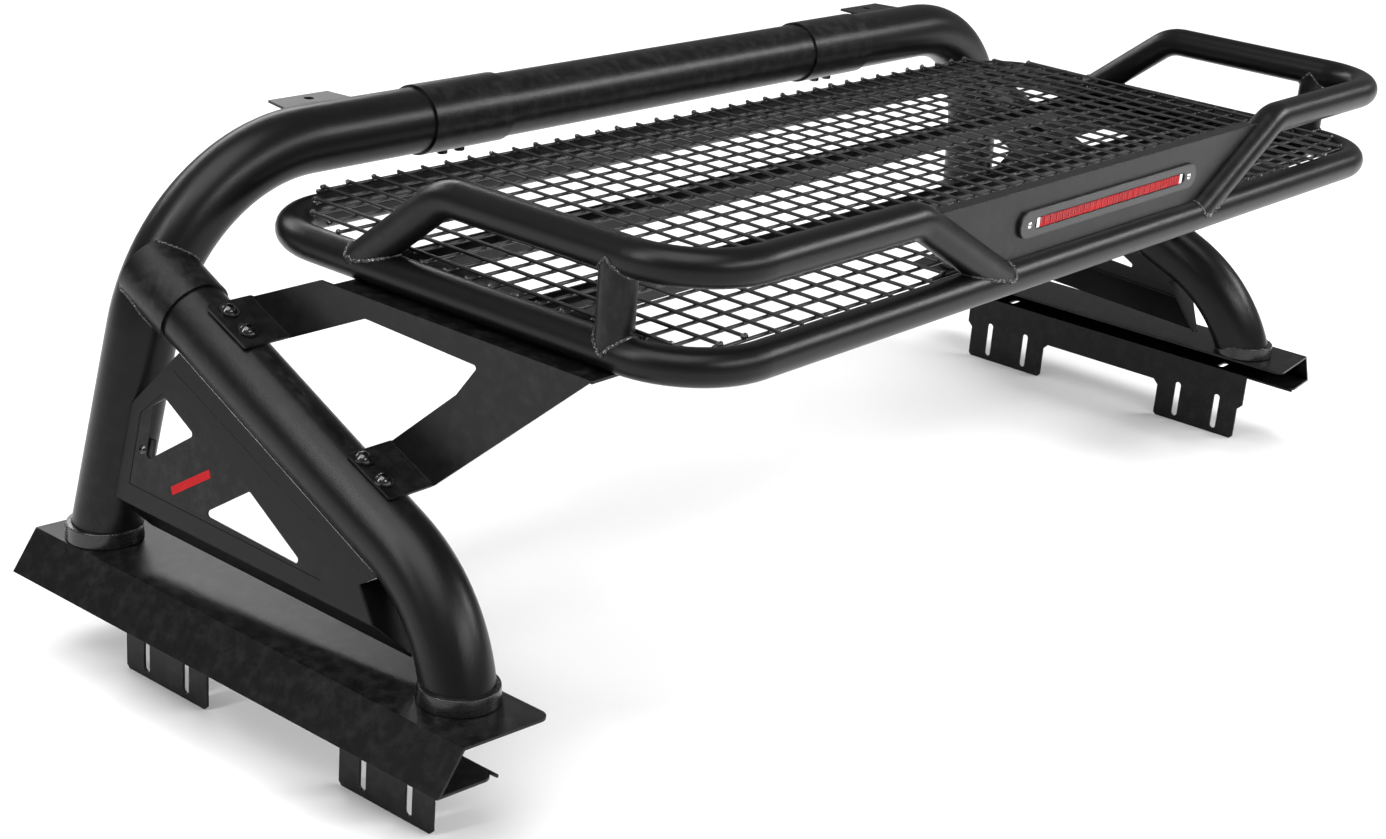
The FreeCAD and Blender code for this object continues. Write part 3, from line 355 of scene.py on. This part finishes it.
def main_plane(offsets):
    """The two main directions of a cluster of offsets from its middle."""
    spread = Matrix(((0, 0, 0), (0, 0, 0), (0, 0, 0)))
    for d in offsets:
        for i in range(3):
            for j in range(3):
                spread[i][j] += d[i] * d[j]
    first = main_direction(spread, (1, 0.3, 0.2))
    size = first.dot(spread @ first)
    rest = Matrix([[spread[i][j] for j in range(3)] for i in range(3)])
    for i in range(3):
        for j in range(3):
            rest[i][j] -= size * first[i] * first[j]
    return first, main_direction(rest, (0.2, 1, 0.3))


def ring_order(points):
    """The outermost points round a cluster, in order, and whether they close."""
    middle = sum(points, Vector()) / len(points)
    first, second = main_plane([p - middle for p in points])
    outermost = {}
    for p in points:
        d = p - middle
        x, y = d.dot(first), d.dot(second)
        key = int((math.atan2(y, x) + math.pi) / (2 * math.pi) * RING_BINS) % RING_BINS
        reach = math.hypot(x, y)
        if key not in outermost or reach > outermost[key][0]:
            outermost[key] = (reach, p)
    keys = sorted(outermost)
    gaps = [((keys[(i + 1) % len(keys)] - k) % RING_BINS, i) for i, k in enumerate(keys)]
    widest, place = max(gaps)
    ordered = [outermost[k][1] for k in keys]
    if widest > RING_BINS // 4:
        return ordered[place + 1:] + ordered[:place + 1], False
    return ordered, True


def evenly(points, closed):
    """Smoothed points a bead step apart along a line through the given ones."""
    line = points + points[:1] if closed else points
    out = []
    for a, b in zip(line, line[1:]):
        count = max(1, round((b - a).length / BEAD_STEP))
        out.extend(a.lerp(b, i / count) for i in range(count))
    if not closed:
        out.append(line[-1])
    for _ in range(SMOOTHING_ROUNDS):
        size = len(out)
        out = [out[i] if not closed and i in (0, size - 1)
               else (out[i - 1] + out[i] * 2 + out[(i + 1) % size]) / 4 for i in range(size)]
    return out


def bead(name, points, closed, radius, body):
    """A rippled weld bead along a line of points."""
    ripple_depth, ripple_pace, unevenness = 0.14, 1.25, 0.08
    end_size, end_growth = 0.35, 0.3
    verts, faces = [], []
    count = len(points)
    for i, point in enumerate(points):
        before = points[i - 1] if closed or i else point
        after = points[(i + 1) % count] if closed or i < count - 1 else point
        along = (after - before).normalized()
        side = along.orthogonal().normalized()
        up = along.cross(side)
        ripple = 1 - ripple_depth + ripple_depth * math.sin(i * ripple_pace)
        ripple += random.uniform(-unevenness, unevenness)
        taper = 1.0 if closed else min(1.0, end_size + min(i, count - 1 - i) * end_growth)
        for k in range(BEAD_SIDES):
            turn = 2 * math.pi * k / BEAD_SIDES
            offset = side * math.cos(turn) + up * math.sin(turn)
            verts.append(point + offset * radius * ripple * taper)
    rows = count if closed else count - 1
    for i in range(rows):
        a, b = i * BEAD_SIDES, ((i + 1) % count) * BEAD_SIDES
        for k in range(BEAD_SIDES):
            n = (k + 1) % BEAD_SIDES
            faces.append((a + k, a + n, b + n, b + k))
    if not closed:
        faces.append(tuple(range(BEAD_SIDES))[::-1])
        faces.append(tuple((count - 1) * BEAD_SIDES + k for k in range(BEAD_SIDES)))
    return new_piece(name, verts, faces, weld_shader, body)


def weld(first, second, radius):
    """Beads wherever one node's edge meets another node's surface."""
    gap, least_seen, least_kept = 0.5 * MM, 8, 4
    skin = surface_of(second)
    seen = {}
    for vertex in nodes[first].data.vertices:
        near = skin.find_nearest(vertex.co, gap)
        if near[0] is not None:
            key = tuple(round(c * WELD_CELLS) for c in vertex.co)
            seen[key] = vertex.co.copy()
    made = 0
    for cluster in groups(seen.values(), WELD_REACH):
        if len(cluster) < least_seen:
            continue
        ordered, closed = ring_order(cluster)
        if len(ordered) < least_kept:
            continue
        made += 1
        bead("weld_{}_{}_{}".format(first, second, made), evenly(ordered, closed), closed,
             radius, body_of_node[first])


def wire_ends(node, along, across):
    """Both ends of each wire of a mesh layer, as points on the wire's axis."""
    lines = {}
    for vertex in nodes[node].data.vertices:
        lines.setdefault(round(vertex.co[across] / WIRE_CELL), []).append(vertex.co)
    for members in lines.values():
        for pick in (min, max):
            tip = pick(m[along] for m in members)
            near = [m for m in members if abs(m[along] - tip) < WIRE_TIP]
            yield sum(near, Vector()) / len(near)


def blobs(name, places, body):
    """Small uneven weld blobs joined in one piece."""
    radius = 2.6 * MM
    verts, faces = [], []
    rows, sides = 5, 8
    for place in places:
        start = len(verts)
        size = radius * random.uniform(0.8, 1.25)
        squash = Vector([random.uniform(0.8, 1.3) for _ in range(3)])
        for i in range(rows + 1):
            tilt = math.pi * i / rows
            for k in range(sides):
                turn = 2 * math.pi * k / sides
                offset = Vector((math.sin(tilt) * math.cos(turn),
                                 math.sin(tilt) * math.sin(turn), math.cos(tilt)))
                verts.append(place + offset * squash * size)
        for i in range(rows):
            for k in range(sides):
                n = (k + 1) % sides
                a, b = start + i * sides, start + (i + 1) * sides
                faces.append((a + k, b + k, b + n, a + n))
    return new_piece(name, verts, faces, weld_shader, body)


def accent(side):
    """A plain slanted red bar on the outer face of a side panel."""
    name = side + "_side_panel"
    skin = surface_of(name)
    low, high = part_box(name)
    sign = -1 if side == "left" else 1
    forward, upward = 0.79, 0.34
    start = Vector((0, low.y + (high.y - low.y) * forward, low.z + (high.z - low.z) * upward))
    along = Vector((0, -0.84, 0.55))
    across = Vector((0, 0.45, 0.89))
    length, height, thickness, gap = 62 * MM, 9 * MM, 0.25 * MM, 0.02 * MM
    outside = 2
    steps = 8
    verts, faces = [], []
    for lift in (0.0, thickness):
        for row in (0, 1):
            for i in range(steps + 1):
                place = start + along * length * i / steps + across * height * row
                place.x = sign * outside
                hit, normal = skin.ray_cast(place, Vector((-sign, 0, 0)))[:2]
                outward = normal if normal.x * sign > 0 else -normal
                verts.append(hit + outward * (lift + gap))
    row = steps + 1
    for i in range(steps):
        a, b = i, row + i
        faces.append((a, b, b + 1, a + 1))
        faces.append((2 * row + a, 2 * row + a + 1, 2 * row + b + 1, 2 * row + b))
        faces.append((a, a + 1, 2 * row + a + 1, 2 * row + a))
        faces.append((b, 2 * row + b, 2 * row + b + 1, b + 1))
    for i in (0, steps):
        faces.append((i, row + i, 3 * row + i, 2 * row + i))
    new_piece(side + "_accent", verts, faces, decal_shader, body_of_node[name],
              smooth=False)


# -------------------------------------------------------- beads and marks

for side in ("left", "right"):
    weld(side + "_guard_rail", "basket_frame", 2.6 * MM)
    weld("guard_posts", side + "_guard_rail", 2.2 * MM)
    weld(side + "_hoop_collar", side + "_hoop", 2.0 * MM)
weld("guard_posts", "basket_frame", 2.6 * MM)
blobs("mesh_welds_rear", list(wire_ends("mesh_cross_wires", 1, 0)), "centre")
blobs("mesh_welds_side", list(wire_ends("mesh_long_wires", 0, 1)), "centre")
accent("left")
accent("right")


# -------------------------------------------------------- stage and camera

def stage_floor():
    """Wide pale floor under the clamping tabs."""
    half, drop = 30, 0.0005
    mesh = bpy.data.meshes.new("floor")
    z = cad_box[0].z - drop
    mesh.from_pydata([(-half, -half, z), (half, -half, z), (half, half, z), (-half, half, z)],
                     [], [(0, 1, 2, 3)])
    floor = bpy.data.objects.new("floor", mesh)
    bpy.context.scene.collection.objects.link(floor)
    s = Shader("floor")
    s.to(s.mix(s.noise(3, 3), (0.875, 0.875, 0.875, 1), (0.885, 0.885, 0.885, 1)), "Base Color")
    s.set(Specular_IOR_Level=0.05, Roughness=0.9)
    mesh.materials.append(s.material)


def softbox(name, place, aim, size, power):
    """A rectangular lamp that faces a point of the rack."""
    light = bpy.data.lights.new(name, "AREA")
    light.shape = "RECTANGLE"
    light.size, light.size_y = size
    light.energy = power
    obj = bpy.data.objects.new(name, light)
    bpy.context.scene.collection.objects.link(obj)
    obj.location = place
    obj.rotation_euler = (Vector(aim) - Vector(place)).to_track_quat("-Z", "Y").to_euler()


def studio():
    """Soft light from above and from strips on all four sides."""
    sky_strength, sky_direction = 0.24, (0.32, 0.12, -1)
    world = bpy.data.worlds.new("studio")
    bpy.context.scene.world = world
    world.use_nodes = True
    background = world.node_tree.nodes["Background"]
    background.inputs["Color"].default_value = (1, 1, 1, 1)
    background.inputs["Strength"].default_value = sky_strength
    sun = bpy.data.lights.new("sky_panel", "SUN")
    sun.energy = 2.6
    sun.angle = math.radians(50)
    holder = bpy.data.objects.new("sky_panel", sun)
    bpy.context.scene.collection.objects.link(holder)
    holder.rotation_euler = Vector(sky_direction).to_track_quat("-Z", "Y").to_euler()
    softbox("left_softbox", (-3.2, 0.6, 2.4), (-0.4, 0, 0.3), (0.4, 2.0), 50)
    softbox("rear_softbox", (0.2, -3.6, 2.6), (0, 0, 0.4), (3.2, 0.5), 90)
    softbox("right_softbox", (3.3, -2.6, 2.5), (0, -0.2, 0.5), (2.2, 0.5), 85)
    softbox("front_softbox", (0.5, 3.6, 2.2), (0, 0, 0.5), (4.0, 0.6), 60)
    bpy.context.scene.view_settings.view_transform = "Standard"
    bpy.context.scene.view_settings.look = "None"


def camera():
    """A camera behind and to the left of the rack, a little above it."""
    data = bpy.data.cameras.new("camera")
    data.sensor_width = 36
    data.lens = 59.6
    data.shift_x = -0.0203
    data.shift_y = 0.0175
    obj = bpy.data.objects.new("camera", data)
    bpy.context.scene.collection.objects.link(obj)
    place = Vector((-2.2488, -1.5875, 1.2100))
    aim = Vector((-0.1270, 0.0450, 0.1627))
    roll = math.radians(4.99)
    obj.location = place
    obj.rotation_mode = "QUATERNION"
    obj.rotation_quaternion = ((aim - place).to_track_quat("-Z", "Y")
                               @ Quaternion((0, 0, 1), roll))
    bpy.context.scene.camera = obj


stage_floor()
studio()
camera()
